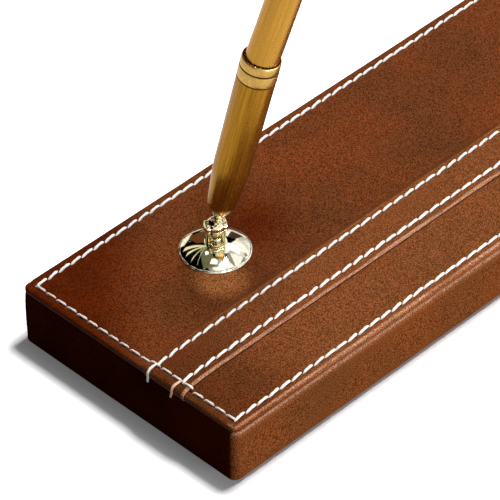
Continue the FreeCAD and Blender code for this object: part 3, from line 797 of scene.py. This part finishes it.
edge_y = half_width - edge_row_inset
end_x = half_length - end_row_inset
last_x = first_x + round(2 * (half_length - row_margin) / stitch_pitch) * stitch_pitch
row_lift, end_row_lift = 0.10, 0.22
white_thread = thread_material("white_thread", (0.97, 0.95, 0.90))
# The end rows are the same white thread drawn greyer: painted shade.
shaded_thread = thread_material("shaded_thread", (0.80, 0.72, 0.64))
# The front lap row's thread ends are the same thread tinted tan: a painted warm reflection.
warm_lit_thread = thread_material("warm_lit_thread", (0.80, 0.47, 0.30))
thick_row = {"pitch": stitch_pitch * mm, "stitch_length": 5.75 * mm, "thread_radius": 0.66 * mm,
             "slant": 0.14, "dip": 0.62 * mm}
long_rows = stitched(
    "edge_row_stitches",
    [[(x, y, top_level + row_lift) for x in (first_x, last_x)] for y in (edge_y, -edge_y)],
    white_thread, **thick_row)
end_rows = stitched(
    "end_row_stitches", [end_path(-1), end_path(1)], shaded_thread, pitch=end_stitch_pitch * mm,
    stitch_length=4.35 * mm, thread_radius=0.60 * mm, slant=0.12, dip=0.60 * mm)
lap_stitches = stitched(
    "lap_row_stitches", [lap_path(row) for row in lap_rows], white_thread, **thick_row)


def thread_ends(name, row, lean, thread):
    """Ends of a lap row's thread, drawn from the last stitches over the board's ends and into its sides."""
    steps, before_edge, length = 28, 3.2, 8.3
    shape = bpy.data.curves.new(name, "CURVE")
    shape.dimensions = "3D"
    shape.bevel_depth = 0.47 * mm
    shape.bevel_resolution = 3
    shape.use_fill_caps = True
    for side in (-1, 1):
        strand = shape.splines.new("POLY")
        strand.points.add(steps)
        for i, point in enumerate(strand.points):
            distance = -before_edge + length * i / steps
            angle = min(max(distance / upper_roll, 0.0), math.pi / 2)
            out, up = math.sin(angle), math.cos(angle)
            x = half_length - upper_roll * (1 - out) + min(distance, 0.0)
            z = top_level - upper_roll * (1 - up) - max(0.0, distance - upper_roll * math.pi / 2)
            off_middle = abs(2 * i / steps - 1)
            sunk = 0.9 * max(0.0, off_middle - 0.82) / 0.18
            lift = 1.52 - min(1.0, max(0.0, distance) / 2.2) - sunk
            y = row + float(bow(x)) + lean * (distance + before_edge) + 0.25
            place = Vector((side * (x + out * lift), y, z + up * lift)) * mm
            point.co = (*place, 1)
            point.radius = 1 - 0.45 * off_middle ** 4
    made = plain_piece(name, in_scene(name + "_guide", shape))
    made.data.polygons.foreach_set("use_smooth", [True] * len(made.data.polygons))
    made.data.materials.clear()
    made.data.materials.append(thread)
    return made


rear_ends = thread_ends("rear_lap_row_ends", lap_rows[0], 0.16, white_thread)
front_ends = thread_ends("front_lap_row_ends", lap_rows[1], 0.30, warm_lit_thread)
for rows, slot_name in (
        (long_rows, "front_leather"), (end_rows, "rear_leather"), (lap_stitches, "rear_leather"),
        (rear_ends, "rear_leather"), (front_ends, "rear_leather")):
    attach(rows, "base")


# Disc
# Stamped brass disc, gilt and polished like a pale mirror, with a rolled rim and a small flat on its crown.
# The stud that goes through its middle holds it down on the leather.
def gilt(name, colour, roughness, lines, line_axis=None, streak_depth=0.18):
    """Lacquered gilt brass with faint polishing lines and tiny pits."""
    made, tree, shader = new_finish(name)
    feed(shader, {"Metallic": 1.0})
    place = node(tree, "ShaderNodeTexCoord").outputs["Object"]
    source = node(tree, "ShaderNodeUVMap", uv_map="turned") if line_axis else place
    stretch = node(tree, "ShaderNodeMapping", {"Vector": source, "Scale": line_axis or (900, 900, 900)})
    streaks = mottled(tree, stretch, 1.0, 3.0, 0.6)
    dust = mottled(tree, place, 2600.0, 2.0)
    streaky = rescaled(tree, streaks, (0.35, 0.65))
    shade = tinted(tree, streaky, opaque(colour, 1 - streak_depth), opaque(colour))
    rough = rescaled(tree, dust, to=(roughness * 0.75, roughness * 1.3))
    dress(shader, shade, rough, streaks, lines, 0.02)
    return made


def lathe(name, profile, placed, finish, segments=160, closed=True):
    """Turned piece from (radius, height) points, bottom to top on its outside, with a UV map round it."""
    points, faces, uvs, rings = [], [], [], []
    for radius, height in profile:
        if radius < 1e-6:
            rings.append([len(points)])
            points.append(placed @ Vector((0, 0, height)))
        else:
            rings.append(list(range(len(points), len(points) + segments)))
            for i in range(segments):
                angle = 2 * math.pi * i / segments
                points.append(placed @ Vector((radius * math.cos(angle), radius * math.sin(angle), height)))
    pairs = list(zip(range(len(rings) - 1), range(1, len(rings))))
    if closed:
        pairs.append((len(rings) - 1, 0))
    for low, high in pairs:
        a, b = rings[low], rings[high]
        za, zb = profile[low][1] * mm, profile[high][1] * mm
        for i in range(segments):
            j = (i + 1) % segments
            u, v = i / segments, (i + 1) / segments
            if len(a) == 1:
                faces.append((a[0], b[j], b[i]))
                uvs += [(u, za), (v, zb), (u, zb)]
            elif len(b) == 1:
                faces.append((a[i], a[j], b[0]))
                uvs += [(u, za), (v, za), (u, zb)]
            else:
                faces.append((a[i], a[j], b[j], b[i]))
                uvs += [(u, za), (v, za), (v, zb), (u, zb)]
    made = mesh_object(name, points, faces)
    layer = made.data.uv_layers.new(name="turned")
    layer.data.foreach_set("uv", [c for uv in uvs for c in uv])
    made.data.set_sharp_from_angle(angle=math.radians(40))
    made.data.materials.append(finish)
    return made


def arc(centre, radius, start, end, steps):
    """Points on an arc in a profile, angles in degrees from the outward direction."""
    angles = [math.radians(start + (end - start) * i / steps) for i in range(steps + 1)]
    return [(centre[0] + radius * math.cos(a), centre[1] + radius * math.sin(a)) for a in angles]


def angle_at(across, radius):
    """Angle in degrees on an arc about the axis where it is that far across."""
    return math.degrees(math.acos(across / radius))


swivel_turn = math.radians(-45.5)
at_swivel = Matrix.Translation(Vector((swivel_x, swivel_y, 0))) @ Matrix.Rotation(swivel_turn, 4, "Z")
disc_radius, disc_foot, disc_thickness = 12.7, 25.0, 1.0
crown_level, crown_flat, hole_radius = 29.2, 4.0, 1.45
dome_radius, dome_centre = 22.859, (0, 6.694)
dome_end, foot_inside = 12.1, 11.7
crown_angle = angle_at(crown_flat, dome_radius)
under_radius = dome_radius - disc_thickness
disc_profile = [(hole_radius, crown_level - disc_thickness), (hole_radius, crown_level),
                (crown_flat - 0.15, crown_level)]
disc_profile += arc(dome_centre, dome_radius, crown_angle, angle_at(dome_end, dome_radius), 28)
disc_profile += [(12.25, 25.78), (12.5, 25.72), (12.66, 25.55), (disc_radius, 25.3), (12.68, 25.06),
                 (12.6, disc_foot), (foot_inside, disc_foot)]
disc_profile += arc(dome_centre, under_radius, angle_at(foot_inside, under_radius), crown_angle, 12)
disc_profile.reverse()
disc = lathe("disc", disc_profile, at_swivel, gilt("disc_gilt", (0.93, 0.89, 0.70), 0.06, 0.08))
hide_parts("base_disc")
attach(disc, "base")


# Swivel: stud, yoke and ball stem
# The stud's slotted head holds the yoke down on the disc, and the yoke's two dished ears grip the ball at
# the foot of the funnel's stem.  All are polished gilt brass.
swivel_gilt = gilt("swivel_gilt", (0.92, 0.80, 0.50), 0.10, 0.10)


def smooth_copy(name, node_name, body):
    """Copy of a CAD node with its loose triangles joined and its round faces smooth."""
    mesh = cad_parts[node_name].data.copy()
    mesh.name = name
    form = bmesh.new()
    form.from_mesh(mesh)
    bmesh.ops.remove_doubles(form, verts=form.verts, dist=1e-6)
    bmesh.ops.dissolve_limit(form, angle_limit=math.radians(0.5), verts=form.verts, edges=form.edges)
    form.to_mesh(mesh)
    form.free()
    mesh.materials.clear()
    mesh.materials.append(swivel_gilt)
    made = in_scene(name, mesh)
    mesh.polygons.foreach_set("use_smooth", [True] * len(mesh.polygons))
    mesh.set_sharp_from_angle(angle=math.radians(28))
    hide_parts(node_name)
    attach(made, body)


smooth_copy("yoke", "swivel_yoke", "swivel")
smooth_copy("stud", "swivel_stud", "base")
ball_level, ball_radius, neck_radius = 35.9, 3.5, 1.2
funnel_foot, foot_radius, spigot_radius = 8.2, 3.7, 2.0
funnel_lean = math.radians(12.1)
on_funnel = at_swivel @ Matrix.Translation(Vector((0, 0, ball_level))) @ Matrix.Rotation(funnel_lean, 4, "Y")
stem_profile = [(0, -ball_radius)]
stem_profile += arc((0, 0), ball_radius, -86, angle_at(neck_radius, ball_radius), 26)
stem_profile += [(neck_radius, 3.45), (1.22, 3.64), (1.4, 4.0), (3.62, 8.05), (foot_radius, funnel_foot),
                 (spigot_radius, funnel_foot), (spigot_radius, 10.9), (1.8, 11.05), (0, 11.05)]
stem = lathe("ball_stem_turned", stem_profile, on_funnel, swivel_gilt, 96, closed=False)
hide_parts("ball_stem")
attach(stem, "funnel")


# Funnel
# Drawn brass tube that swells from a rounded heel to a straight, slightly widening top, with satin lacquer
# and faint drawing lines along it.  A nut inside its foot holds it on the ball's stem.
def eased(before, corner, after, radius, steps=10):
    """Points of a tangent arc that rounds a corner of a profile."""
    b = (Vector(before) - Vector(corner)).normalized()
    a = (Vector(after) - Vector(corner)).normalized()
    half = b.angle(a) / 2
    reach = radius / math.tan(half)
    centre = Vector(corner) + (a + b).normalized() * (radius / math.sin(half))
    first, last = Vector(corner) + b * reach, Vector(corner) + a * reach
    made = []
    for i in range(steps + 1):
        t = i / steps
        spoke = (first - centre) * (1 - t) + (last - centre) * t
        made.append(tuple(centre + spoke.normalized() * radius))
    return made


bore = 6.375
wall_foot, heel, waist = (foot_radius, funnel_foot), (5.05, 10.5), (6.45, 26.0)
funnel_top = (6.775, 66.3)
taper = (funnel_top[0] - waist[0]) / (funnel_top[1] - waist[1])
funnel_profile = [(2.05, 8.22), (3.6, funnel_foot), wall_foot]
funnel_profile += eased(wall_foot, heel, waist, 5.0)
funnel_profile += eased(heel, waist, funnel_top, 60.0)
funnel_profile += [(waist[0] + taper * (level - waist[1]), level) for level in (40.0, 54.0)]
funnel_profile += [funnel_top, (bore, funnel_top[1]), (bore, 60.3), (6.2, 60.0), (5.9, 26.0), (4.5, 11.0),
                   (3.6, 8.75), (2.05, 8.75)]
funnel_gilt = gilt("funnel_gilt", (0.50, 0.235, 0.022), 0.28, 0.8, (60, 40, 1), 0.42)
funnel = lathe("funnel_tube_drawn", funnel_profile, on_funnel, funnel_gilt)
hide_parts("funnel_tube")
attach(funnel, "funnel")


# Mouth ring
# Turned brass ring of two rounded bands parted by fine grooves, with a bright rounded lip.  It is brazed
# on the top of the funnel.
ring_outer, ring_edge, deep = 6.88, 6.83, 6.66
joint, parting, lip = 66.33, 71.4, 75.1
ring_profile = [(bore, joint), (deep, joint), (deep, joint + 0.50), (ring_edge, joint + 0.55)]
ring_profile += [(ring_outer - 0.01, joint + 0.8), (ring_outer, 68.9), (ring_outer - 0.01, parting - 0.6),
                 (ring_edge, parting - 0.35), (deep, parting - 0.30), (deep, parting + 0.25),
                 (ring_edge, parting + 0.30), (ring_outer - 0.01, parting + 0.55), (ring_outer, 73.2)]
ring_profile += [(ring_outer - 0.05, 74.5), (6.75, 74.85), (6.62, 75.05), (6.52, lip), (6.44, 75.05),
                 (bore, 74.9)]
ring_segments = 160
ring_gilt = gilt("ring_gilt", (0.72, 0.43, 0.11), 0.26, 0.12)
ring = lathe("mouth_ring_turned", ring_profile, on_funnel, ring_gilt, ring_segments)
# The grooves are coloured dark brown: painted shade in them.
ring.data.materials.append(gilt("groove_painted_shade", (0.10, 0.035, 0.008), 0.45, 0.2))
for step in range(len(ring_profile) - 1):
    if min(ring_profile[step][0], ring_profile[step + 1][0]) == deep:
        for i in range(step * ring_segments, (step + 1) * ring_segments):
            ring.data.polygons[i].material_index = 1
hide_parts("mouth_ring")
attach(ring, "funnel")


# Pen
# Plain round ball pen with a satin gilt barrel, a domed end cap and a long tapering nose.  It stands loose
# in the funnel, and leans a little more than it.
pen_lean = math.radians(15.793)
pen_radius, pen_length, nose_top = 5.875, 140.72, 54.72
barrel_bore, cap_length, spigot_depth, glue_gap = 5.175, 8.0, 10, 0.03
spigot, refill_hole, cap_neck = 5.145, 1.65, 5.6
pen_tip = (0.2285, 0, 17.8486 + ball_level)
on_pen = at_swivel @ Matrix.Translation(Vector(pen_tip)) @ Matrix.Rotation(pen_lean, 4, "Y")
pen_gilt = gilt("pen_gilt", (0.66, 0.33, 0.05), 0.26, 0.35, (70, 30, 1), 0.22)
barrel_top = pen_length - cap_length
barrel_foot = nose_top + glue_gap
cap_foot = barrel_top + glue_gap
barrel = lathe("pen_barrel_tube", [
    (barrel_bore, barrel_foot), (pen_radius - 0.08, barrel_foot), (pen_radius, nose_top + 0.11),
    (pen_radius, 80.0), (pen_radius, 105.0), (pen_radius, barrel_top - 0.1), (pen_radius - 0.1, barrel_top),
    (barrel_bore, barrel_top)], on_pen, pen_gilt)
cap_profile = [(0, cap_foot - 4), (refill_hole, cap_foot - 4), (refill_hole, cap_foot - spigot_depth)]
cap_profile += [(spigot, cap_foot - spigot_depth), (spigot, cap_foot), (cap_neck, cap_foot)]
cap_profile += [(cap_neck, cap_foot + 0.45), (pen_radius - 0.05, cap_foot + 0.7),
                (pen_radius, cap_foot + 0.85)]
# Radius, and depth under the pen's end, round the cap's dome
cap_dome = [(pen_radius, 3.2), (5.76, 2.5), (5.46, 1.95), (4.7, 1.25), (3.6, 0.66), (2.4, 0.29), (1.2, 0.07)]
cap_profile += [(radius, pen_length - depth) for radius, depth in cap_dome] + [(0, pen_length)]
cap = lathe("pen_end_cap_turned", cap_profile, on_pen, pen_gilt, closed=False)
nose_profile = [(1.15, 2.2), (1.2, 2.2), (1.3, 2.6), (pen_radius - 0.06, nose_top - 0.5)]
nose_profile += [(pen_radius, nose_top), (spigot, nose_top), (spigot, nose_top + 8), (4.245, nose_top + 8)]
nose_profile += [(4.245, nose_top), (refill_hole, 16.9), (refill_hole, 9.0), (1.15, 9.0)]
nose = lathe("pen_nose_turned", nose_profile, on_pen, pen_gilt, 128)
for piece, node_name in ((barrel, "pen_barrel"), (cap, "pen_end_cap"), (nose, "pen_nose")):
    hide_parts(node_name)
    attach(piece, "pen")
